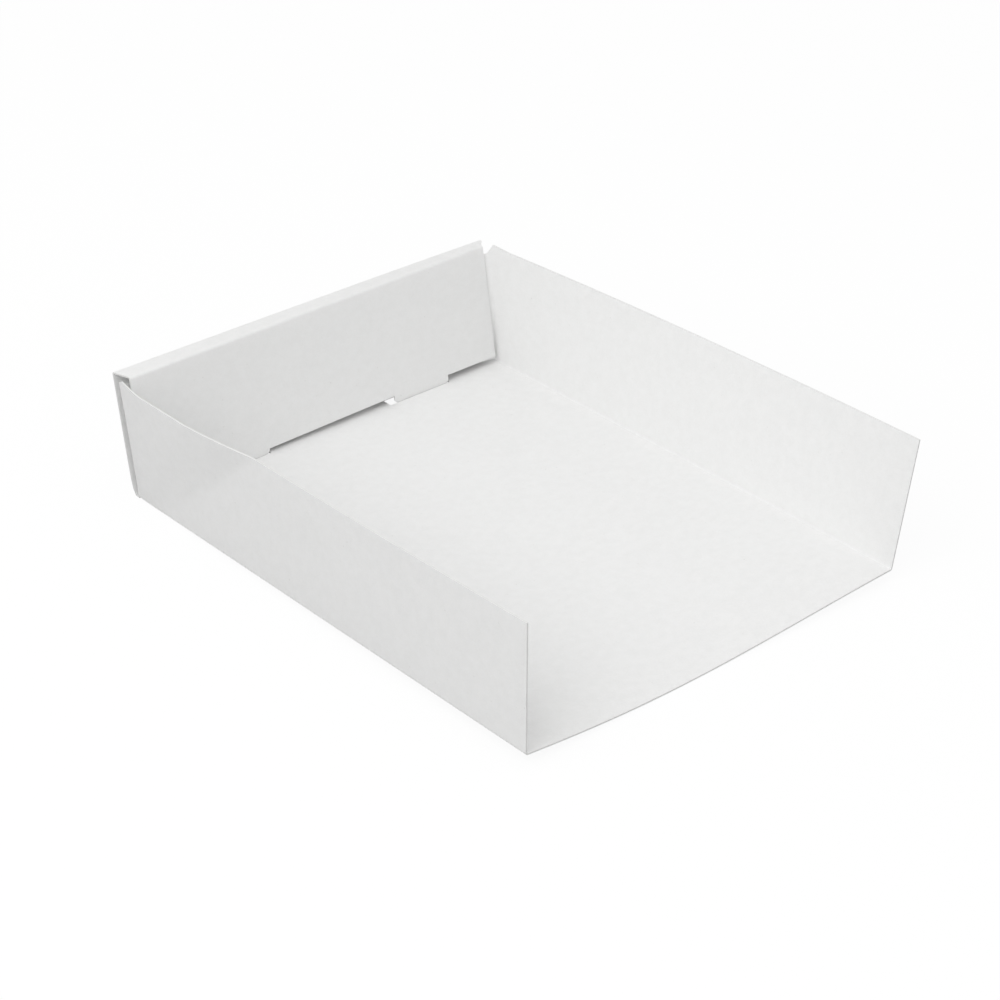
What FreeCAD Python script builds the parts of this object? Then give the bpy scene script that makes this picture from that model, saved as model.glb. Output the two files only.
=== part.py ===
import FreeCAD, Part
import math
import os

# A shallow paperboard tray folded from one die-cut sheet: a floor, two side walls, and a back
# wall that rolls over on itself and traps a corner flap from each side wall. The front is open.
# X runs left to right, Y from the open front to the back wall, Z up. Lengths are millimetres
# and leans are degrees away from upright.

# The sheet
BOARD = 0.6                 # thickness of the board
CREASE_INSIDE = 0.5         # inside radius of a pressed crease

# The floor
BASE_WIDTH = 178.0          # between the outsides of the side creases
BASE_DEPTH = 228.0          # from the front edge to the outside of the back crease
FRONT_BOW = 4.1             # how far the side creases rise above the floor's low line at the front
BOW_SKEW = 0.5              # moves the bow's low line from the middle towards the left crease
FLAT_BACK = 12.0            # depth of the floor along the back crease that stays flat

# The side walls
WALL_HEIGHT = 52.5          # from the crease to the top edge, along the wall
LEFT_LEAN_END = 4.6         # outward lean at the corner fold, where the flap holds the wall in
LEFT_LEAN_BACK = 6.2        # outward lean behind the soft buckle
LEFT_LEAN_MIDDLE = 3.3      # outward lean in front of the buckle
LEFT_LEAN_FRONT = 0.2       # outward lean at the front edge
BUCKLE_BACK = 45.0          # where the buckle starts, from the back crease
BUCKLE_FRONT = 75.0         # where the buckle has died out, from the back crease
RIGHT_LEAN_BACK = 0.8       # outward lean of the right wall beside the back wall
RIGHT_LEAN_FRONT = 10.0     # outward lean of the right wall at the front edge

# The back wall
BACK_HEIGHT = 51.9          # outer panel, from the back crease to the roll, along the panel
BACK_LEAN = 9.2             # backward lean of both panels
BACK_FLARE = 1.8            # how much further out the outer panel reaches at the roll, at each end
ROLL_WIDTH = 7.2            # flat top of the roll, from crease to crease
INNER_INSET = 1.8           # the inner panel stops this far inside the floor's width, at each end
INNER_LIFT = 3.1            # underside of the inner panel above the floor's underside

# The lock tabs and their slots
SLOT_FROM_MIDDLE = 30.2     # from the middle of the floor to the near end of each slot
SLOT_LENGTH = 31.2
SLOT_BACK = 2.0             # from the back crease to the slot's back edge
TAB_END_CLEARANCE = 1.5     # spare slot at each end of a centred tab
TAB_FACE_CLEARANCE = 0.25   # between a tab and the front edge of its slot
TAB_SHIFT = 1.3             # how far to the right the tabs sit in their slots
TAB_LIFT = 0.05             # the tabs' ends above the floor's underside
TAB_CORNER = 1.5            # cut corners at the tabs' ends

# The corner flaps between the two back panels
FLAP_LENGTH = 38.0          # from the wall to the flap's free end
FLAP_FOOT = 0.8             # between the floor and the flap's lower edge
FLAP_DROP = 5.0             # the flap's top edge slants down this far below the wall's top edge
FLAP_GAP = 0.5              # between the flap and the outer back panel, at the floor
FLAP_LEAN = 4.9             # backward lean of the flap, which stands away from the outer panel higher up
LEFT_FOLD_FOOT = 2.0        # from the back crease to the left flap's fold, at the floor
RIGHT_FOLD_FOOT = 5.4       # the same on the right, where the wall has slipped forward
FOLD_TOP = 2.1              # from the back crease to both folds, at the wall's top edge

# How finely the long walls and the bowed floor are drawn
WALL_SPANS = 24
BOW_SPANS = 8

CREASE_OUTSIDE = CREASE_INSIDE + BOARD
BACK = BASE_DEPTH / 2
HALF_WIDTH = BASE_WIDTH / 2
BACK_SLOPE = math.tan(math.radians(BACK_LEAN))
ALONG_X = FreeCAD.Vector(1, 0, 0)
ALONG_Y = FreeCAD.Vector(0, 1, 0)
ALONG_Z = FreeCAD.Vector(0, 0, 1)


def wire(edges):
    """A closed outline from edges that already meet end to end."""
    return Part.Wire([edge.toShape() for edge in edges])


def fold(corner, before, after, axis):
    """The two arcs of a fold whose outside lines meet at corner: start, middle and end of each."""
    turn = before.getAngle(after)
    reach = CREASE_OUTSIDE * math.tan(turn / 2)
    start = corner - before * reach
    end = corner + after * reach
    centre = start + axis.cross(before) * CREASE_OUTSIDE
    outward = (corner - centre).normalize()
    outside = (start, centre + outward * CREASE_OUTSIDE, end)
    inside = tuple(point + (centre - point).normalize() * BOARD for point in outside)
    return outside, inside


def strip(path, axis):
    """Board seen edge-on: a face whose outside runs along path, with a fold at each inner point."""
    steps = [(b - a).normalize() for a, b in zip(path, path[1:])]
    folds = [fold(path[i + 1], steps[i], steps[i + 1], axis) for i in range(len(steps) - 1)]
    outside = [path[0]] + [point for outer, inner in folds for point in outer] + [path[-1]]
    inside = [path[0] + axis.cross(steps[0]) * BOARD]
    inside += [point for outer, inner in folds for point in inner]
    inside += [path[-1] + axis.cross(steps[-1]) * BOARD]
    edges = [Part.LineSegment(outside[0], inside[0]), Part.LineSegment(outside[-1], inside[-1])]
    for line in (outside, inside):
        edges += [Part.LineSegment(line[i], line[i + 1]) for i in range(0, len(line), 3)]
        edges += [Part.Arc(*line[i:i + 3]) for i in range(1, len(line) - 1, 3)]
    return Part.Face(Part.Wire(Part.__sortEdges__([edge.toShape() for edge in edges])))


def bow_wave(share):
    """Depth of the bow at a share of the floor's width, before it is scaled to its peak."""
    return math.sin(math.pi * share) * (1 + BOW_SKEW * (1 - 2 * share))


PEAK_STEPS = 1000
BOW_PEAK = max(bow_wave(step / PEAK_STEPS) for step in range(PEAK_STEPS + 1))


def bow_height(share, rise):
    """Height of the bowed floor at a share of its width, and its slope per unit of share."""
    bend = math.pi * math.cos(math.pi * share) * (1 + BOW_SKEW * (1 - 2 * share))
    bend -= 2 * BOW_SKEW * math.sin(math.pi * share)
    return rise * (1 - bow_wave(share) / BOW_PEAK), -rise * bend / BOW_PEAK


def left_lean(from_back):
    """Lean of the left wall at a distance from the back crease."""
    share = from_back / BASE_DEPTH
    lean = LEFT_LEAN_FRONT + (LEFT_LEAN_MIDDLE - LEFT_LEAN_FRONT) * (1 - share ** 2)
    ahead = min(max((BUCKLE_FRONT - from_back) / (BUCKLE_FRONT - BUCKLE_BACK), 0), 1)
    return lean + (LEFT_LEAN_BACK - LEFT_LEAN_MIDDLE) * ahead * ahead * (3 - 2 * ahead)


def right_lean(from_back):
    """Lean of the right wall at a distance from the back crease."""
    share = (from_back - FLAT_BACK) / (BASE_DEPTH - FLAT_BACK)
    return RIGHT_LEAN_BACK + (RIGHT_LEAN_FRONT - RIGHT_LEAN_BACK) * (1 - (1 - share) ** 2)


def channel_section(from_back):
    """Outline of the floor and both side walls across the tray, at a distance from the back crease."""
    y = BACK - from_back
    rise = FRONT_BOW * (from_back - FLAT_BACK) / (BASE_DEPTH - FLAT_BACK)
    lean_left = math.radians(left_lean(from_back))
    lean_right = math.radians(right_lean(from_back))
    flat_width = BASE_WIDTH - 2 * CREASE_OUTSIDE
    down_slope = math.atan(-bow_height(0, rise)[1] / flat_width)
    up_slope = math.atan(bow_height(1, rise)[1] / flat_width)
    axis = -ALONG_Y
    down = FreeCAD.Vector(math.sin(lean_left), 0, -math.cos(lean_left))
    leave = FreeCAD.Vector(math.cos(down_slope), 0, -math.sin(down_slope))
    arrive = FreeCAD.Vector(math.cos(up_slope), 0, math.sin(up_slope))
    up = FreeCAD.Vector(math.sin(lean_right), 0, math.cos(lean_right))
    left_reach = CREASE_OUTSIDE * math.tan(down.getAngle(leave) / 2)
    right_reach = CREASE_OUTSIDE * math.tan(arrive.getAngle(up) / 2)
    left_corner = FreeCAD.Vector(-HALF_WIDTH, y, rise + left_reach * math.sin(down_slope))
    right_corner = FreeCAD.Vector(HALF_WIDTH, y, rise + right_reach * math.sin(up_slope))
    left_out, left_in = fold(left_corner, down, leave, axis)
    right_out, right_in = fold(right_corner, arrive, up, axis)
    under, over = [], []
    for step in range(BOW_SPANS + 1):
        share = step / BOW_SPANS
        height, slope = bow_height(share, rise)
        x = left_out[2].x + (right_out[0].x - left_out[2].x) * share
        point = FreeCAD.Vector(x, y, height)
        along = FreeCAD.Vector(flat_width, 0, slope).normalize()
        under.append(point)
        over.append(point + axis.cross(along) * BOARD)
    under_curve = Part.BSplineCurve()
    under_curve.interpolate(Points=under, InitialTangent=leave, FinalTangent=arrive)
    over_curve = Part.BSplineCurve()
    over_curve.interpolate(Points=over, InitialTangent=leave, FinalTangent=arrive)
    left_top = left_corner - down * WALL_HEIGHT
    right_top = right_corner + up * WALL_HEIGHT
    left_top_in = left_top + axis.cross(down) * BOARD
    right_top_in = right_top + axis.cross(up) * BOARD
    return wire([
        Part.LineSegment(left_top, left_out[0]),
        Part.Arc(*left_out),
        under_curve,
        Part.Arc(*right_out),
        Part.LineSegment(right_out[2], right_top),
        Part.LineSegment(right_top, right_top_in),
        Part.LineSegment(right_top_in, right_in[2]),
        Part.Arc(*right_in[::-1]),
        over_curve,
        Part.Arc(*left_in[::-1]),
        Part.LineSegment(left_in[0], left_top_in),
        Part.LineSegment(left_top_in, left_top),
    ])


def channel():
    """The floor and the side walls from the front edge to the flat strip along the back crease."""
    step = (BASE_DEPTH - FLAT_BACK) / WALL_SPANS
    sections = [channel_section(BASE_DEPTH - step * span) for span in range(WALL_SPANS + 1)]
    return Part.makeLoft(sections, True, True)


def rear_corner(side, lean, fold_foot):
    """One half of the flat floor along the back crease, with the low part of its side wall."""
    up = FreeCAD.Vector(side * math.sin(lean), 0, math.cos(lean))
    corner = FreeCAD.Vector(side * HALF_WIDTH, BACK - FLAT_BACK, 0)
    stub_height = (BOARD + FLAP_FOOT) / math.cos(lean)
    top = corner + up * (stub_height + BOARD)
    path = [FreeCAD.Vector(0, BACK - FLAT_BACK, 0), corner, top]
    low_wall = strip(path, ALONG_Y * -side).extrude(ALONG_Y * (FLAT_BACK - fold_foot))
    above = Part.makeBox(BASE_WIDTH, FLAT_BACK, WALL_HEIGHT)
    above.translate(FreeCAD.Vector(min(0, side * BASE_WIDTH), BACK - FLAT_BACK, BOARD + FLAP_FOOT))
    floor_end = Part.makeBox(HALF_WIDTH, fold_foot - CREASE_OUTSIDE, BOARD)
    floor_end.translate(FreeCAD.Vector(min(0, side * HALF_WIDTH), BACK - fold_foot, 0))
    return low_wall.cut(above).fuse(floor_end)


def flap_outline(side, lean, end_lean, fold_y, height):
    """Plan outline of the rear wall, the corner fold and the flap, at one height."""
    low = BOARD + FLAP_FOOT
    thickness = side * BOARD / math.cos(lean)
    start_out = side * (HALF_WIDTH + height * math.tan(lean))
    wall_out = side * (HALF_WIDTH + low * math.tan(lean) + (height - low) * math.tan(end_lean))
    wall_in = wall_out - thickness
    flap_foot = BACK - BOARD / math.cos(math.radians(BACK_LEAN)) - FLAP_GAP
    flap_out = flap_foot + height * math.tan(math.radians(FLAP_LEAN))
    flap_in = flap_out - BOARD
    outside_radius = flap_out - fold_y
    inside_radius = outside_radius - abs(wall_out - wall_in)
    centre_x = wall_out - side * outside_radius
    free_end = side * (HALF_WIDTH - FLAP_LENGTH)
    half = math.sqrt(0.5)

    def at(x, y):
        return FreeCAD.Vector(x, y, height)

    outer_middle = at(centre_x + side * outside_radius * half, fold_y + outside_radius * half)
    inner_middle = at(centre_x + side * inside_radius * half, fold_y + inside_radius * half)
    start = BACK - FLAT_BACK
    return wire([
        Part.LineSegment(at(start_out, start), at(wall_out, fold_y)),
        Part.Arc(at(wall_out, fold_y), outer_middle, at(centre_x, flap_out)),
        Part.LineSegment(at(centre_x, flap_out), at(free_end, flap_out)),
        Part.LineSegment(at(free_end, flap_out), at(free_end, flap_in)),
        Part.LineSegment(at(free_end, flap_in), at(centre_x, flap_in)),
        Part.Arc(at(centre_x, flap_in), inner_middle, at(wall_in, fold_y)),
        Part.LineSegment(at(wall_in, fold_y), at(start_out - thickness, start)),
        Part.LineSegment(at(start_out - thickness, start), at(start_out, start)),
    ])


def rear_wall(side, lean, end_lean, fold_foot):
    """The back end of a side wall with its corner fold and flap, the flap's top corner cut away."""
    low = BOARD + FLAP_FOOT
    high = WALL_HEIGHT * math.cos(lean)
    body = Part.makeLoft([
        flap_outline(side, lean, end_lean, BACK - fold_foot, low),
        flap_outline(side, lean, end_lean, BACK - FOLD_TOP, high),
    ], True, True)
    fold_y = BACK - FOLD_TOP
    behind = BACK + ROLL_WIDTH + FLAP_DROP
    profile = [(fold_y, high), (fold_y + FLAP_DROP, high - FLAP_DROP), (behind, high - FLAP_DROP),
               (behind, high + BOARD), (fold_y, high + BOARD), (fold_y, high)]
    reach = BASE_WIDTH
    outline = Part.makePolygon([FreeCAD.Vector(-reach, y, z) for y, z in profile])
    return body.cut(Part.Face(outline).extrude(ALONG_X * 2 * reach))


def back_wall():
    """The outer panel, the roll with its slanted ends, and the inner panel with its lock tabs."""
    lean = math.radians(BACK_LEAN)
    top_z = BACK_HEIGHT * math.cos(lean)
    top_y = BACK + top_z * BACK_SLOPE
    inner_y = top_y - ROLL_WIDTH
    fold_end = CREASE_OUTSIDE + BOARD
    inner_width = BASE_WIDTH - 2 * INNER_INSET
    reach = HALF_WIDTH + BACK_FLARE

    outer_path = [
        FreeCAD.Vector(-reach, BACK - CREASE_OUTSIDE, 0),
        FreeCAD.Vector(-reach, BACK, 0),
        FreeCAD.Vector(-reach, top_y, top_z),
        FreeCAD.Vector(-reach, top_y - fold_end, top_z),
    ]
    outer = strip(outer_path, ALONG_X).extrude(ALONG_X * 2 * reach)
    trims = [flare_trim(side, top_z - BOARD) for side in (-1, 1)]

    inner_path = [
        FreeCAD.Vector(-inner_width / 2, inner_y + fold_end, top_z),
        FreeCAD.Vector(-inner_width / 2, inner_y, top_z),
        FreeCAD.Vector(-inner_width / 2, inner_y - (top_z - TAB_LIFT) * BACK_SLOPE, TAB_LIFT),
    ]
    inner = strip(inner_path, ALONG_X).extrude(ALONG_X * inner_width)

    roll_outline = [
        (-reach, top_y - fold_end),
        (reach, top_y - fold_end),
        (inner_width / 2, inner_y + fold_end),
        (-inner_width / 2, inner_y + fold_end),
    ]
    corners = [FreeCAD.Vector(x, y, top_z - BOARD) for x, y in roll_outline]
    roll = Part.Face(Part.makePolygon(corners + corners[:1])).extrude(ALONG_Z * BOARD)
    return outer.cut(trims).fuse([roll, inner.cut(tab_waste())])


def flare_trim(side, full_height):
    """What is cut away beside the outer panel, whose ends slant outwards up to the roll."""
    near = side * HALF_WIDTH
    reach = side * (HALF_WIDTH + BACK_FLARE)
    outline = [(near, 0), (reach, full_height), (2 * reach, full_height), (2 * reach, -BOARD), (near, -BOARD),
               (near, 0)]
    face = Part.Face(Part.makePolygon([FreeCAD.Vector(x, BACK - FLAT_BACK, z) for x, z in outline]))
    return face.extrude(ALONG_Y * (FLAT_BACK + BACK_HEIGHT))


def tab_waste():
    """What is cut away below the inner panel's lower edge, beside the two tabs."""
    front = BACK - ROLL_WIDTH - BOARD
    deep = INNER_LIFT + 2 * BOARD
    waste = Part.makeBox(BASE_WIDTH, deep, INNER_LIFT + BOARD)
    waste.translate(FreeCAD.Vector(-HALF_WIDTH, front, -BOARD))
    middle_distance = SLOT_FROM_MIDDLE + SLOT_LENGTH / 2
    half = SLOT_LENGTH / 2 - TAB_END_CLEARANCE
    for middle in (TAB_SHIFT - middle_distance, TAB_SHIFT + middle_distance):
        outline = [
            (middle - half, INNER_LIFT + BOARD),
            (middle - half, TAB_LIFT + TAB_CORNER),
            (middle - half + TAB_CORNER, TAB_LIFT),
            (middle + half - TAB_CORNER, TAB_LIFT),
            (middle + half, TAB_LIFT + TAB_CORNER),
            (middle + half, INNER_LIFT + BOARD),
        ]
        corners = [FreeCAD.Vector(x, front, z) for x, z in outline]
        waste = waste.cut(Part.Face(Part.makePolygon(corners + corners[:1])).extrude(ALONG_Y * deep))
    return waste


def slots():
    """The two slots in the floor that the lock tabs drop into."""
    front = BACK - ROLL_WIDTH - TAB_FACE_CLEARANCE
    cuts = []
    for start in (-SLOT_FROM_MIDDLE - SLOT_LENGTH, SLOT_FROM_MIDDLE):
        slot = Part.makeBox(SLOT_LENGTH, BACK - SLOT_BACK - front, 3 * BOARD)
        slot.translate(FreeCAD.Vector(start, front, -BOARD))
        cuts.append(slot)
    return cuts


def tray():
    """The whole folded sheet, with the middle of its box's underside at the origin."""
    left = math.radians(left_lean(FLAT_BACK))
    right = math.radians(RIGHT_LEAN_BACK)
    floor = channel().fuse([
        rear_corner(-1, left, LEFT_FOLD_FOOT),
        rear_corner(1, right, RIGHT_FOLD_FOOT),
    ]).cut(slots())
    sheet = floor.fuse([
        rear_wall(-1, left, math.radians(LEFT_LEAN_END), LEFT_FOLD_FOOT),
        rear_wall(1, right, right, RIGHT_FOLD_FOOT),
        back_wall(),
    ]).removeSplitter()
    box = sheet.optimalBoundingBox(False, False)
    middle = FreeCAD.Vector(-box.Center.x, -box.Center.y, 0)
    sheet.translate(middle)
    print("middle of the floor", middle)
    return sheet


os.makedirs("parts", exist_ok=True)
folded_tray = tray()
folded_tray.exportStep("parts/folded_tray.step")
print("solids", len(folded_tray.Solids), "valid", folded_tray.isValid())
print("volume in cubic centimetres", round(folded_tray.Volume / 1000, 2))
print("box", folded_tray.optimalBoundingBox(False, False))
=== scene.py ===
import math

import bmesh
import bpy
import numpy as np
from mathutils import Matrix, Vector


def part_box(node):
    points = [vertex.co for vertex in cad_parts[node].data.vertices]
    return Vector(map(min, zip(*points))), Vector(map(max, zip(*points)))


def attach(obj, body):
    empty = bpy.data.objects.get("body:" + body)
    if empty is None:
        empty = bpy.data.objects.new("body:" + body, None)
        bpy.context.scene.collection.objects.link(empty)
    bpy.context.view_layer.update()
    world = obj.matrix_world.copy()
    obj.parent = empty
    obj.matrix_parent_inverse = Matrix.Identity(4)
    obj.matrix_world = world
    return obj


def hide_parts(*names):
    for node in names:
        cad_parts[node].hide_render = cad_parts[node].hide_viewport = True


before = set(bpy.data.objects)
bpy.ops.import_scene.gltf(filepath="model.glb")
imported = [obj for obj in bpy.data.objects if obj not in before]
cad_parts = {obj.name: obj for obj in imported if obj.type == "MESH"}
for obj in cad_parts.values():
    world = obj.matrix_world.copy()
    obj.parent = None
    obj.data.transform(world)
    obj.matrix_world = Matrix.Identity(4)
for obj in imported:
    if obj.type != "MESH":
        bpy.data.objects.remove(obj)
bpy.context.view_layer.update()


# The floor and the two side walls are a channel of white paperboard, 0.6 mm thick. The blank is
# cut flat, with two slots near the back crease, and the walls are folded up along pressed creases.
# Its middle is at x = 0 and y = 0 and its low line at z = 0, in millimetres, until it is placed.
BOARD = 0.6
CREASE = 1.1
BASE_WIDTH = 178.0
BASE_DEPTH = 228.0
WALL_HEIGHT = 52.5
HALF_WIDTH = BASE_WIDTH / 2
BACK = BASE_DEPTH / 2
FLAT_BACK = 12.0
LEFT, RIGHT = -1, 1

# The floor bows at the open front, lowest a little left of its middle. The walls' outward leans are
# in degrees, from front to back. The left wall's buckle starts this far ahead of the back crease,
# and runs forward and gets wider up the wall. Its corner fold holds the last stretch more upright.
FRONT_BOW = 4.1
BOW_SKEW = 0.5
RIGHT_FRONT, RIGHT_BACK = 10.0, 0.8
LEFT_FRONT, LEFT_MIDDLE, LEFT_BACK, LEFT_END = 0.2, 2.6, 7.0, 4.6
BUCKLE_START, BUCKLE_RUN = 18.0, 1.22
BUCKLE_WIDTH, BUCKLE_SPREAD = 16.0, 0.4
BUCKLE_EASE = 1.5
END_REACH = 15.0

# The slots' ends are measured from the middle. Their edges, and the corner folds at the foot and the
# top of a wall, are measured from the back crease. The flaps start a little above the floor.
SLOT_NEAR, SLOT_FAR = 30.2, 61.4
SLOT_FRONT, SLOT_REAR = 7.45, 2.0
FLAP_FOOT = 1.4
FOLD_FOOT = {LEFT: 2.0, RIGHT: 5.4}
FOLD_TOP = 2.1

# How finely the blank is divided, and how near counts as the same place.
CREASE_STEPS = 6
GRID = 2.5
WALL_GRID = 2.2
ROWS_TO_SLOT, ROWS_TO_FOLD = 3, 3
BOW_SAMPLES = 500
TOUCH = 0.01


class Socket:
    """A node's output that plain sums work on: each operator adds its Math node."""

    def __init__(self, tree, socket):
        self.tree = tree
        self.socket = socket

    def __add__(self, other):
        return self.tree.maths("ADD", self, other)

    def __radd__(self, other):
        return self.tree.maths("ADD", other, self)

    def __sub__(self, other):
        return self.tree.maths("SUBTRACT", self, other)

    def __rsub__(self, other):
        return self.tree.maths("SUBTRACT", other, self)

    def __mul__(self, other):
        return self.tree.maths("MULTIPLY", self, other)

    def __rmul__(self, other):
        return self.tree.maths("MULTIPLY", other, self)

    def __truediv__(self, other):
        return self.tree.maths("DIVIDE", self, other)


class Tree:
    """A node tree, of a material or of a mesh, with one method for every kind of node."""

    def __init__(self, nodes_of):
        self.nodes = nodes_of.nodes
        self.links = nodes_of.links
        self.nodes.clear()

    def node(self, kind, settings=None, inputs=None, output=0):
        made = self.nodes.new(kind)
        for name, value in (settings or {}).items():
            setattr(made, name, value)
        for name, value in (inputs or {}).items():
            if isinstance(value, Socket):
                self.links.new(value.socket, made.inputs[name])
            else:
                made.inputs[name].default_value = value
        return Socket(self, made.outputs[output]) if made.outputs else None

    def maths(self, operation, *values):
        return self.node("ShaderNodeMath", {"operation": operation}, dict(enumerate(values)))


# The board's cloudy formation, grain and specks, in cells to the metre, the levels at which it looks
# dull and clean, and how matt its surface is. A little light passes through, tinted by one colour.
CLOUDS, GRAINS, SPECKS = 300.0, 1400.0, 190.0
NOISE_DETAIL = 3.0
DULL_LEVEL, CLEAN_LEVEL = 0.35, 0.62
CLOUD_IN_COLOUR, CLOUD_IN_BUMP = 0.55, 0.4
SPECK_CORE, SPECK_RIM = 0.03, 0.07
SPECK_STRENGTH = 0.5
PULP = (0.60, 0.60, 0.58, 1)
BUMP_STRENGTH, BUMP_HEIGHT = 0.35, 0.00008
ROUGHNESS, SPECULAR = 0.8, 0.25
LIGHT_THROUGH = 0.18
FACTOR, FIRST_COLOUR, SECOND_COLOUR, MIXED_COLOUR = 0, 6, 7, 2


def board_material(name, dull, clean):
    """Uncoated board: cloudy formation, fine grain and faint specks of pulp, with a matt surface."""
    material = bpy.data.materials.new(name)
    material.use_nodes = True
    tree = Tree(material.node_tree)
    place = tree.node("ShaderNodeTexCoord", output="Object")
    cloud = tree.node("ShaderNodeTexNoise", inputs={
        "Vector": place, "Scale": CLOUDS, "Detail": NOISE_DETAIL})
    grain = tree.node("ShaderNodeTexNoise", inputs={
        "Vector": place, "Scale": GRAINS, "Detail": NOISE_DETAIL})
    cells = tree.node("ShaderNodeTexVoronoi", inputs={"Vector": place, "Scale": SPECKS})
    clear = tree.node("ShaderNodeMapRange", inputs={
        "Value": cloud * CLOUD_IN_COLOUR + grain * (1 - CLOUD_IN_COLOUR),
        "From Min": DULL_LEVEL, "From Max": CLEAN_LEVEL})
    speck = tree.node("ShaderNodeMapRange", inputs={
        "Value": cells, "From Min": SPECK_CORE, "From Max": SPECK_RIM, "To Min": 1.0, "To Max": 0.0})
    paper = tree.node("ShaderNodeMix", {"data_type": "RGBA"}, {
        FACTOR: clear, FIRST_COLOUR: dull, SECOND_COLOUR: clean}, MIXED_COLOUR)
    flecked = tree.node("ShaderNodeMix", {"data_type": "RGBA"}, {
        FACTOR: speck * (1 - clear) * SPECK_STRENGTH, FIRST_COLOUR: paper, SECOND_COLOUR: PULP},
        MIXED_COLOUR)
    bump = tree.node("ShaderNodeBump", inputs={
        "Strength": BUMP_STRENGTH, "Distance": BUMP_HEIGHT,
        "Height": cloud * CLOUD_IN_BUMP + grain * (1 - CLOUD_IN_BUMP)})
    surface = tree.node("ShaderNodeBsdfPrincipled", inputs={
        "Base Color": flecked, "Roughness": ROUGHNESS, "Specular IOR Level": SPECULAR, "Normal": bump})
    between = [(dark + light) / 2 for dark, light in zip(dull, clean)]
    through = tree.node("ShaderNodeBsdfTranslucent", inputs={"Color": between})
    board = tree.node("ShaderNodeMixShader", inputs={FACTOR: LIGHT_THROUGH, 1: surface, 2: through})
    tree.node("ShaderNodeOutputMaterial", inputs={"Surface": board})
    return material


white_board = board_material("white board", (0.94, 0.941, 0.936, 1), (0.985, 0.985, 0.981, 1))
cut_edge = board_material("cut edge", (0.84, 0.842, 0.83, 1), (0.90, 0.902, 0.89, 1))


def spread(knots, step=GRID):
    """Values through all the knots, about a step apart."""
    values = [knots[0]]
    for start, end in zip(knots, knots[1:]):
        count = max(round(abs(end - start) / step), 1)
        values += [start + (end - start) * (k + 1) / count for k in range(count)]
    return values


floor_end = HALF_WIDTH - CREASE
arc_length = CREASE * math.pi / 2
wall_foot = floor_end + arc_length
half_floor = spread([0, SLOT_NEAR, SLOT_FAR, floor_end])
half_crease = [floor_end + arc_length * k / CREASE_STEPS for k in range(1, CREASE_STEPS + 1)]
wall_ups = spread([CREASE, FLAP_FOOT, WALL_HEIGHT], WALL_GRID)
half_blank = half_floor + half_crease + [wall_foot + up - CREASE for up in wall_ups[1:]]
columns = [-across for across in half_blank[:0:-1]] + half_blank

front_rows = spread([-BACK, BACK - FLAT_BACK])
flat_row = len(front_rows) - 1
slot_row = flat_row + ROWS_TO_SLOT
fold_row = slot_row + ROWS_TO_FOLD
rear_rows = [BACK - SLOT_REAR, BACK - CREASE]


def row_y(side, row):
    """Where a row of the blank lies at one side crease."""
    if row <= flat_row:
        return front_rows[row]
    if row > fold_row:
        return rear_rows[row - fold_row - 1]
    knots = [flat_row, slot_row, fold_row]
    return BACK - float(np.interp(row, knots, [FLAT_BACK, SLOT_FRONT, FOLD_FOOT[side]]))


def blank_point(row, across):
    """A point of the flat blank. The walls' back ends are cut along the slant of the corner folds."""
    side = math.copysign(1, across)
    y = row_y(side, row)
    if abs(across) <= floor_end:
        share = (across + floor_end) / (2 * floor_end)
        return across, row_y(LEFT, row) * (1 - share) + row_y(RIGHT, row) * share, 0
    up = abs(across) - wall_foot + CREASE
    slant = (FOLD_FOOT[side] - FOLD_TOP) * max(up - FLAP_FOOT, 0) / (WALL_HEIGHT - FLAP_FOOT)
    past = max(y - (BACK - FLAT_BACK), 0) / (FLAT_BACK - FOLD_FOOT[side])
    return across, y + slant * past, 0


def in_slot(x):
    """True between the two ends of a slot."""
    return SLOT_NEAR - TOUCH < abs(x) < SLOT_FAR + TOUCH


def in_blank(row, column):
    """False in the slots, and beyond the floor behind the corner folds."""
    middle = (columns[column] + columns[column + 1]) / 2
    if slot_row <= row <= fold_row and in_slot(middle):
        return False
    return row < fold_row or abs(middle) < floor_end


def grid_faces(row_count, column_count, keep):
    """Faces over a grid of points that are numbered row by row, where keep says so."""
    corners = (0, 1, 1 + column_count, column_count)
    return [[row * column_count + column + corner for corner in corners]
            for row in range(row_count - 1) for column in range(column_count - 1) if keep(row, column)]


row_total = fold_row + 1 + len(rear_rows)
blank_mesh = bpy.data.meshes.new("blank")
blank_mesh.from_pydata([blank_point(row, across) for row in range(row_total) for across in columns], [],
                       grid_faces(row_total, len(columns), in_blank))
blank = bpy.data.objects.new("blank", blank_mesh)
bpy.context.scene.collection.objects.link(blank)


def bow_wave(share):
    """Depth of the floor's bow at a share of its width, before it is scaled to its peak."""
    return math.sin(math.pi * share) * (1 + BOW_SKEW * (1 - 2 * share))


bow_peak = max(bow_wave(k / BOW_SAMPLES) for k in range(BOW_SAMPLES + 1))
sizes = {
    "Half Width": HALF_WIDTH, "Half Depth": BACK, "Wall Height": WALL_HEIGHT, "Crease Radius": CREASE,
    "Flat Back": FLAT_BACK, "Slot Far End": SLOT_FAR,
    "Front Bow": FRONT_BOW, "Bow Skew": BOW_SKEW, "Bow Peak": bow_peak,
    "Right Front Lean": math.radians(RIGHT_FRONT), "Right Back Lean": math.radians(RIGHT_BACK),
    "Left Front Lean": math.radians(LEFT_FRONT), "Left Middle Lean": math.radians(LEFT_MIDDLE),
    "Left Back Lean": math.radians(LEFT_BACK), "Left End Lean": math.radians(LEFT_END),
    "Buckle Start": BUCKLE_START, "Buckle Run": BUCKLE_RUN, "Buckle Width": BUCKLE_WIDTH,
    "Buckle Spread": BUCKLE_SPREAD, "End Reach": END_REACH,
}
folding = bpy.data.node_groups.new("fold the blank", "GeometryNodeTree")
folding.interface.new_socket("Geometry", in_out="OUTPUT", socket_type="NodeSocketGeometry")
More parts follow.
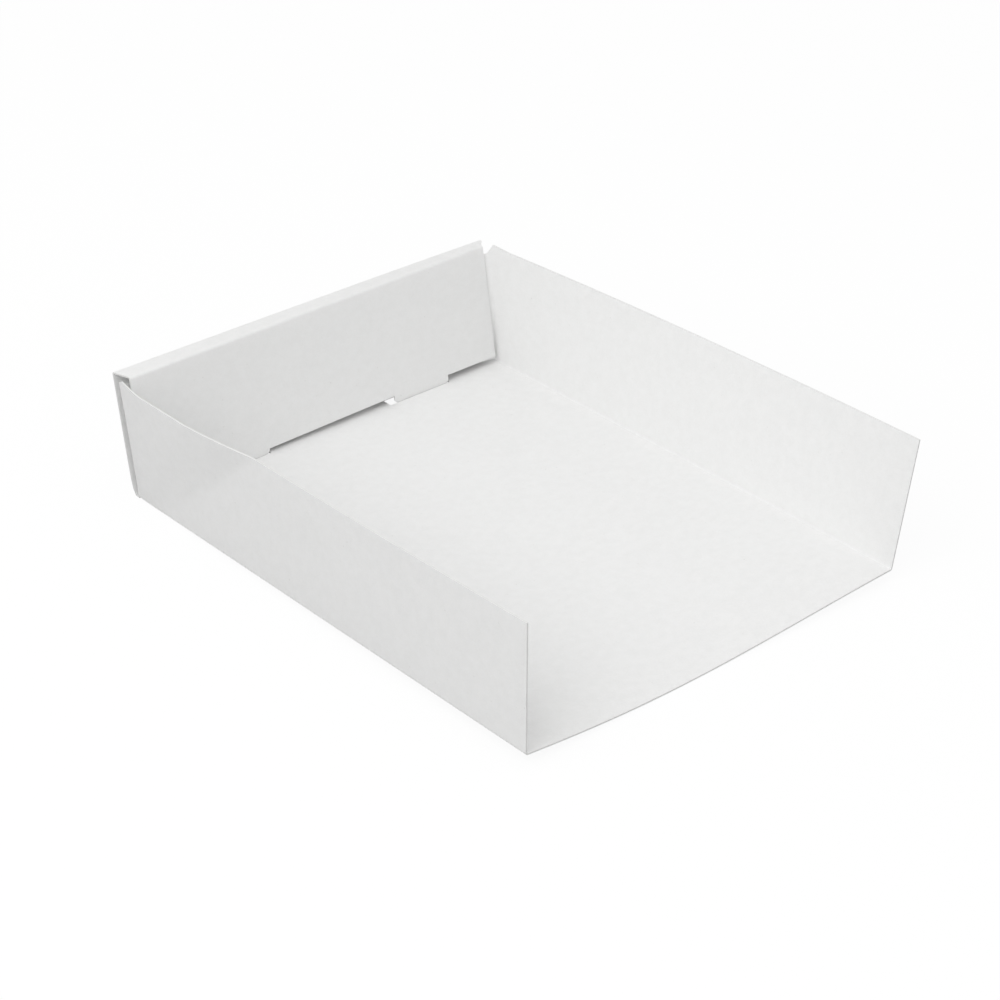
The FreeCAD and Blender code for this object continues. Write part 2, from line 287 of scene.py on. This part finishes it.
folding.interface.new_socket("Geometry", in_out="INPUT", socket_type="NodeSocketGeometry")
dials = {name: folding.interface.new_socket(name, in_out="INPUT", socket_type="NodeSocketFloat")
         for name in sizes}
finish_dial = folding.interface.new_socket("Board", in_out="INPUT", socket_type="NodeSocketMaterial")

# The tree folds the blank. Across it, a point is on the floor, round a side crease or up a wall.
tree = Tree(folding)
blank_in = tree.node("NodeGroupInput")
size = {name: Socket(tree, blank_in.socket.node.outputs[name]) for name in sizes}
maths = tree.maths
place = tree.node("GeometryNodeInputPosition")
across = tree.node("ShaderNodeSeparateXYZ", inputs={0: place}, output="X")
y = tree.node("ShaderNodeSeparateXYZ", inputs={0: place}, output="Y")
side, out = maths("SIGN", across), maths("ABSOLUTE", across)
radius = size["Crease Radius"]
floor_half = size["Half Width"] - radius
crease_length = radius * (math.pi / 2)
depth = size["Half Depth"] * 2
from_back = size["Half Depth"] - y
bowed = maths("MAXIMUM", from_back - size["Flat Back"], 0.0) / (depth - size["Flat Back"])


def left_lean(up):
    """The left wall is nearly upright, and leans out behind a buckle that runs down to the corner."""
    along = from_back / depth
    ahead = size["Left Front Lean"] + (size["Left Middle Lean"] - size["Left Front Lean"]) * (
        1 - along * along * along)
    into = size["Buckle Start"] + up * size["Buckle Run"] - from_back
    through = into / (size["Buckle Width"] + up * size["Buckle Spread"])
    within = maths("MINIMUM", maths("MAXIMUM", through, 0.0), 1.0)
    eased = within * (BUCKLE_EASE - within * (BUCKLE_EASE - 1))
    behind = (size["Left Back Lean"] - size["Left Middle Lean"]) * eased
    held = maths("MAXIMUM", 1 - from_back / size["End Reach"], 0.0)
    return ahead + behind - (size["Left Back Lean"] - size["Left End Lean"]) * held


def lean(up):
    """Outward lean of either wall, at a height up it. The right one opens out towards the front."""
    opening = 1 - (1 - bowed) * (1 - bowed)
    right = size["Right Back Lean"] + (size["Right Front Lean"] - size["Right Back Lean"]) * opening
    on_right = maths("GREATER_THAN", side, 0.0)
    return right * on_right + left_lean(up) * (1 - on_right)


rise = size["Front Bow"] * bowed
share = (across + floor_half) / (floor_half * 2)
wave = maths("SINE", share * math.pi) * (1 + size["Bow Skew"] * (1 - 2 * share))
floor_z = rise * (1 - wave / size["Bow Peak"])
floor_slope = maths("ARCTANGENT", rise * math.pi * (1 - side * size["Bow Skew"])
                    / (size["Bow Peak"] * floor_half * 2))
level, climb = maths("COSINE", floor_slope), maths("SINE", floor_slope)

turn = math.pi / 2 - floor_slope - lean(radius)
reach = radius * maths("TANGENT", turn / 2)
foot_x = size["Half Width"] - level * reach
stretch = maths("MAXIMUM", out - size["Slot Far End"], 0.0) / (floor_half - size["Slot Far End"])
floor_x = across + side * stretch * (foot_x - floor_half)

angle = turn * maths("MINIMUM", maths("MAXIMUM", out - floor_half, 0.0) / crease_length, 1.0)
ahead, inward = radius * maths("SINE", angle), radius * (1 - maths("COSINE", angle))
crease_x = foot_x + level * ahead - climb * inward
crease_z = rise + climb * ahead + level * inward

above = maths("MAXIMUM", out - floor_half - crease_length, 0.0)
up = reach + above * (size["Wall Height"] - reach) / (size["Wall Height"] - radius)
wall_x = size["Half Width"] + up * maths("SINE", lean(up))
wall_z = rise + climb * reach + up * maths("COSINE", lean(up))

on_floor = maths("LESS_THAN", out, floor_half + TOUCH)
on_wall = maths("GREATER_THAN", above, TOUCH)
folded_x = side * (on_wall * wall_x + (1 - on_wall) * crease_x)
folded_z = on_wall * wall_z + (1 - on_wall) * crease_z
folded = tree.node("ShaderNodeCombineXYZ", inputs={
    0: on_floor * floor_x + (1 - on_floor) * folded_x, 1: y,
    2: on_floor * floor_z + (1 - on_floor) * folded_z})
shaped = tree.node("GeometryNodeSetPosition", inputs={"Geometry": blank_in, "Position": folded})
real = tree.node("GeometryNodeRealizeInstances", inputs={"Geometry": shaped})
board_dial = Socket(tree, blank_in.socket.node.outputs["Board"])
finished = tree.node("GeometryNodeSetMaterial", inputs={"Geometry": real, "Material": board_dial})
tree.node("NodeGroupOutput", inputs={"Geometry": finished})

press = blank.modifiers.new("fold the blank", "NODES")
press.node_group = folding
for name, dial in dials.items():
    press[dial.identifier] = sizes[name]
press[finish_dial.identifier] = white_board
bpy.context.view_layer.update()
channel = bpy.data.meshes.new_from_object(blank.evaluated_get(bpy.context.evaluated_depsgraph_get()))
blank.modifiers.remove(press)
bpy.data.objects.remove(blank)
channel_points = np.empty(len(channel.vertices) * 3)
channel.vertices.foreach_get("co", channel_points)
channel_points = channel_points.reshape(row_total, len(columns), 3)


class Sheet:
    """The outside of the folded sheet: grids of points that are welded where they meet."""

    def __init__(self):
        self.points = []
        self.faces = []

    def panel(self, rows, keep=lambda row, column: True):
        start = len(self.points)
        self.points += [tuple(point) for row in rows for point in row]
        self.faces += [[start + corner for corner in face]
                       for face in grid_faces(len(rows), len(rows[0]), keep)]


sheet = Sheet()
sheet.panel(channel_points, in_blank)


# The back wall is the blank's long end panel. It folds up from the floor and leans back, turns over
# in a flat-topped roll with slanting ends, and comes down again inside, a little narrower. Two tabs
# on its lower edge are pushed into the floor's slots and lock it. The roll is a little twisted.
BACK_HEIGHT = 51.9
OUTER_LEFT, OUTER_RIGHT = 123.0, 121.8
OUTER_EASE = 6
INNER_LEFT, INNER_RIGHT = 114.3, 115.8
INNER_FOOT = 106.8
INNER_ENDS = (-88.1, 87.0)
FLARE = {LEFT: 1.2, RIGHT: 1.3}
FLARE_HEIGHT = {LEFT: 3.0, RIGHT: 9.0}
LIFT_LEFT, LIFT_RIGHT = 2.4, 3.5
TAB_NEAR, TAB_FAR = 31.7, 59.9
TAB_SHIFT = 1.3
TAB_LIFT = 0.05
TAB_CORNER = 1.5
OUTER_STEPS, ROLL_STEPS, INNER_STEPS, TAB_STEPS = 21, 7, 20, 2


def line(start, end, count):
    """Points along a straight line in a plane, without its first."""
    return [(start[0] + (end[0] - start[0]) * k / count, start[1] + (end[1] - start[1]) * k / count)
            for k in range(1, count + 1)]


def bend(corner, before, after):
    """Points round a pressed fold in a plane, whose two outside lines meet at the corner."""
    angle = math.acos(before[0] * after[0] + before[1] * after[1])
    inward = (-before[1], before[0])
    reach = CREASE * math.tan(angle / 2)
    start = (corner[0] - before[0] * reach, corner[1] - before[1] * reach)
    arc = []
    for step in range(CREASE_STEPS + 1):
        turned = angle * step / CREASE_STEPS
        along, across = CREASE * math.sin(turned), CREASE * (1 - math.cos(turned))
        arc.append((start[0] + before[0] * along + inward[0] * across,
                    start[1] + before[1] * along + inward[1] * across))
    return arc


def back_section(x):
    """The back wall in section at one place along it: its points, and where its roll and tab start."""
    share = (x + HALF_WIDTH) / BASE_WIDTH
    outer_y = OUTER_LEFT + (OUTER_RIGHT - OUTER_LEFT) * max(share, 0) ** OUTER_EASE
    inner_y = INNER_LEFT + (INNER_RIGHT - INNER_LEFT) * share
    lift = float(np.interp(x, [-SLOT_NEAR, SLOT_NEAR], [LIFT_LEFT, LIFT_RIGHT]))
    top_z = math.sqrt(BACK_HEIGHT ** 2 - (outer_y - BACK) ** 2)
    climb = ((outer_y - BACK) / BACK_HEIGHT, top_z / BACK_HEIGHT)
    panel = math.dist((inner_y, top_z), (INNER_FOOT, 0))
    fall = ((INNER_FOOT - inner_y) / panel, -top_z / panel)

    def at_height(z):
        return INNER_FOOT + (inner_y - INNER_FOOT) * z / top_z, z

    points = bend((BACK, 0.0), (1, 0), climb)
    over = bend((outer_y, top_z), climb, (-1, 0))
    points += line(points[-1], over[0], OUTER_STEPS) + over[1:]
    roll_start = len(points) - 1
    down = bend((inner_y, top_z), (-1, 0), fall)
    points += line(points[-1], down[0], ROLL_STEPS) + down[1:]
    lip, shoulder, tip = (at_height(z) for z in (lift, TAB_LIFT + TAB_CORNER, TAB_LIFT))
    points += line(points[-1], lip, INNER_STEPS)
    tab_start = len(points) - 1
    points += line(lip, shoulder, TAB_STEPS) + line(shoulder, tip, TAB_STEPS)
    return points, roll_start, tab_start


floor_columns = abs(np.array(columns)) <= floor_end + TOUCH
crease_xs = channel_points[-1][floor_columns][:, 0]
outer_xs = np.concatenate([[-HALF_WIDTH], crease_xs, [HALF_WIDTH]])
outer_knots = [-HALF_WIDTH, -SLOT_FAR, -SLOT_NEAR, SLOT_NEAR, SLOT_FAR, HALF_WIDTH]
inner_knots = [INNER_ENDS[0], TAB_SHIFT - TAB_FAR, TAB_SHIFT - TAB_NEAR,
               TAB_SHIFT + TAB_NEAR, TAB_SHIFT + TAB_FAR, INNER_ENDS[1]]
inner_xs = np.interp(outer_xs, outer_knots, inner_knots)
tab_middles = np.sign(inner_xs) * (TAB_NEAR + TAB_FAR) / 2 + TAB_SHIFT
sections = [back_section(x) for x in outer_xs]
roll_start, edge_row = sections[0][1:]
roll_end = roll_start + ROLL_STEPS

back_rows = []
for row in range(len(sections[0][0])):
    over = min(max((row - roll_start) / (roll_end - roll_start), 0), 1)
    points = []
    for outer_x, inner_x, tab_middle, (section, _, _) in zip(outer_xs, inner_xs, tab_middles, sections):
        y, z = section[row]
        if row > edge_row:
            cut = max(TAB_LIFT + TAB_CORNER - z, 0) / ((TAB_FAR - TAB_NEAR) / 2)
            inner_x = tab_middle + (inner_x - tab_middle) * (1 - cut)
        side = math.copysign(1, outer_x)
        flare = FLARE[side] * (1 - math.exp(-z / FLARE_HEIGHT[side]))
        flared = outer_x * (1 + flare / HALF_WIDTH)
        points.append((flared * (1 - over) + inner_x * over, y, z))
    back_rows.append(points)

sheet.panel([[(x, BACK - CREASE, 0) for x in outer_xs], back_rows[0]])
sheet.panel(back_rows, lambda row, column: row < edge_row
            or in_slot((outer_xs[column] + outer_xs[column + 1]) / 2))
for side, end in ((LEFT, 0), (RIGHT, -1)):
    crease_ends = [points[floor_columns][end] for points in channel_points[fold_row:]]
    sheet.panel([(point, (side * HALF_WIDTH, point[1], point[2])) for point in crease_ends])


# A corner flap turns in from the back end of each side wall and stands between the two panels of
# the back wall, which trap it. It leans back with them, so its fold is sharp at the foot and soft at
# the top. Its top edge slants down beside the fold, less so on the left, and then runs level.
FLAP_LENGTH = 38.0
FLAP_DROP = 5.0
FLAP_SLANT = {LEFT: 0.5, RIGHT: 1.25}
FLAP_GAP = 0.5
FLAP_LEAN = math.radians(4.9)
FOLD_RADIUS = 1.0
SPRING = 14.0
BEND_STEPS = 10
FLAP_STEPS = 16

flap_y = BACK - BOARD - FLAP_GAP
flap_start = wall_foot + FLAP_FOOT - CREASE - TOUCH
for side in (LEFT, RIGHT):
    fold_points = channel_points[fold_row][side * np.array(columns) > flap_start]
    low, high = min(fold_points[:, 2]), max(fold_points[:, 2])
    top_radius = flap_y + high * math.tan(FLAP_LEAN) - (BACK - FOLD_TOP)
    rows = []
    for wall_x, fold_y, z in fold_points:
        row = []
        for step in range(BEND_STEPS + FLAP_STEPS + 1):
            angle = min(step / BEND_STEPS, 1) * math.pi / 2
            aside = 1 - math.cos(angle)
            straight = max(step - BEND_STEPS, 0) / FLAP_STEPS
            drop = min(FLAP_SLANT[side] * (top_radius * angle + FLAP_LENGTH * straight), FLAP_DROP)
            share = (z - low) / (high - low)
            z_here = low + share * (high - drop - low)
            room = flap_y + z_here * math.tan(FLAP_LEAN) - fold_y
            radius = min(FOLD_RADIUS + (top_radius - FOLD_RADIUS) * share ** 2, room)
            bend_x = wall_x - side * radius * aside
            x = bend_x + (side * (HALF_WIDTH - FLAP_LENGTH) - bend_x) * straight
            spring = min(abs(x - bend_x) / SPRING, 1)
            settled = (room - radius) * spring * spring * (3 - 2 * spring)
            row.append((x, fold_y + radius * math.sin(angle) + settled, z_here))
        rows.append(row)
    sheet.panel(rows)


# The sheet is all one piece, so its panels are welded where they meet, and its outside then gets
# the board's thickness on the inside of the tray. Its cut edges are bare and a little greyer. The
# floor's front edge and the right wall's top corner stand where the frame's own sheet has them.
MM = 0.001
WELD = 0.00002
SHARP_ANGLE = math.radians(40)
frame_low, frame_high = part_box("folded_tray")
right_reach = HALF_WIDTH + WALL_HEIGHT * math.sin(math.radians(RIGHT_FRONT))
shift = Vector((frame_high.x - right_reach * MM, frame_low.y + BACK * MM, 0))

welded = bmesh.new()
corners = [welded.verts.new(Vector(point) * MM + shift) for point in sheet.points]
for face in sheet.faces:
    welded.faces.new([corners[index] for index in face])
bmesh.ops.remove_doubles(welded, verts=welded.verts[:], dist=WELD)
bmesh.ops.delete(welded, geom=[v for v in welded.verts if not v.link_faces], context="VERTS")
bmesh.ops.recalc_face_normals(welded, faces=welded.faces[:])
lowest = min(welded.faces, key=lambda face: face.calc_center_median().z)
if lowest.normal.z > 0:
    bmesh.ops.reverse_faces(welded, faces=welded.faces[:])
outside = bpy.data.meshes.new("outside")
welded.to_mesh(outside)
welded.free()
outside.materials.append(white_board)
outside.materials.append(cut_edge)

thin = bpy.data.objects.new("thin", outside)
bpy.context.scene.collection.objects.link(thin)
thickness = thin.modifiers.new("board", "SOLIDIFY")
thickness.thickness = BOARD * MM
thickness.offset = -1
thickness.use_even_offset = True
thickness.material_offset_rim = 1
bpy.context.view_layer.update()
solid = bpy.data.meshes.new_from_object(thin.evaluated_get(bpy.context.evaluated_depsgraph_get()))
bpy.data.objects.remove(thin)
solid.name = "tray_sheet"
solid.shade_smooth()
solid.set_sharp_from_angle(angle=SHARP_ANGLE)
tray = bpy.data.objects.new("tray_sheet", solid)
bpy.context.scene.collection.objects.link(tray)
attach(tray, "root")
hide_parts("folded_tray")


# The stage is a plain white floor that reaches out of view, a hair's breadth below the tray. It
# looks white to the camera and to reflections, and keeps the tray's soft shadow.
STAGE_SIZE = 8.0
STAGE_DROP = 0.0002
SHADOW_SHARE = 0.08
BOUNCE = 0.5
bpy.ops.mesh.primitive_plane_add(size=STAGE_SIZE, location=(0, 0, -STAGE_DROP))
stage = bpy.context.object
stage.name = "stage_floor"
paint = bpy.data.materials.new("white floor")
paint.use_nodes = True
tree = Tree(paint.node_tree)
rays = tree.node("ShaderNodeLightPath").socket.node.outputs
seen = Socket(tree, rays["Is Camera Ray"]) + Socket(tree, rays["Is Glossy Ray"])
seen = seen + Socket(tree, rays["Is Transmission Ray"])
shade = tree.node("ShaderNodeMix", {"data_type": "RGBA"}, {
    FACTOR: seen, FIRST_COLOUR: (BOUNCE, BOUNCE, BOUNCE, 1), SECOND_COLOUR: (1, 1, 1, 1)}, MIXED_COLOUR)
lit = tree.node("ShaderNodeBsdfDiffuse", inputs={"Color": shade})
glow = tree.node("ShaderNodeEmission", inputs={"Color": (1, 1, 1, 1), "Strength": 1.0})
surface = tree.node("ShaderNodeMixShader", inputs={FACTOR: seen * (1 - SHADOW_SHARE), 1: lit, 2: glow})
tree.node("ShaderNodeOutputMaterial", inputs={"Surface": surface})
stage.data.materials.append(paint)


# The light is a white tent's: even from all round, so that the board's shades stay soft and pale.
# One large soft lamp stands high at the left, a little in front of the tray's middle.
AMBIENT = 0.74
LAMP_PLACE = (-0.85, -0.20, 1.05)
LAMP_WIDTH = 1.2
LAMP_POWER = 7.4
world = bpy.data.worlds.new("studio")
world.use_nodes = True
bpy.context.scene.world = world
tree = Tree(world.node_tree)
seen = tree.node("ShaderNodeLightPath", output="Is Camera Ray")
sky = tree.node("ShaderNodeBackground", inputs={"Color": (1, 1, 1, 1),
                                                "Strength": seen * (1 - AMBIENT) + AMBIENT})
tree.node("ShaderNodeOutputWorld", inputs={"Surface": sky})
lamp = bpy.data.lights.new("high left", "AREA")
lamp.size = LAMP_WIDTH
lamp.energy = LAMP_POWER
holder = bpy.data.objects.new("high left", lamp)
holder.location = LAMP_PLACE
holder.rotation_mode = "QUATERNION"
holder.rotation_quaternion = (-Vector(LAMP_PLACE)).to_track_quat("-Z", "Y")
bpy.context.scene.collection.objects.link(holder)


# The camera stands a metre off, at the left of the open front, and looks down into the tray through
# a long lens. Its place and aim are those that the tray's corners in the photograph give.
AZIMUTH, ELEVATION, ROLL = math.radians(-40.783), math.radians(30.922), math.radians(0.376)
DISTANCE = 1020.5
TARGET = (-5.72, -3.61, 20.0)
LENS = 99.19
SENSOR = 36.0
away = Vector((math.sin(AZIMUTH) * math.cos(ELEVATION), -math.cos(AZIMUTH) * math.cos(ELEVATION),
               math.sin(ELEVATION)))
right = Vector((math.cos(AZIMUTH), math.sin(AZIMUTH), 0))
upward = away.cross(right)
turned_right = math.cos(ROLL) * right + math.sin(ROLL) * upward
turned_up = math.cos(ROLL) * upward - math.sin(ROLL) * right
lens = bpy.data.cameras.new("camera")
lens.lens = LENS
lens.sensor_width = SENSOR
camera = bpy.data.objects.new("camera", lens)
camera.matrix_world = Matrix.Translation(Vector(TARGET) * MM + shift + away * DISTANCE * MM) @ Matrix(
    (turned_right, turned_up, away)).transposed().to_4x4()
bpy.context.scene.collection.objects.link(camera)
bpy.context.scene.camera = camera
bpy.context.scene.view_settings.view_transform = "Standard"
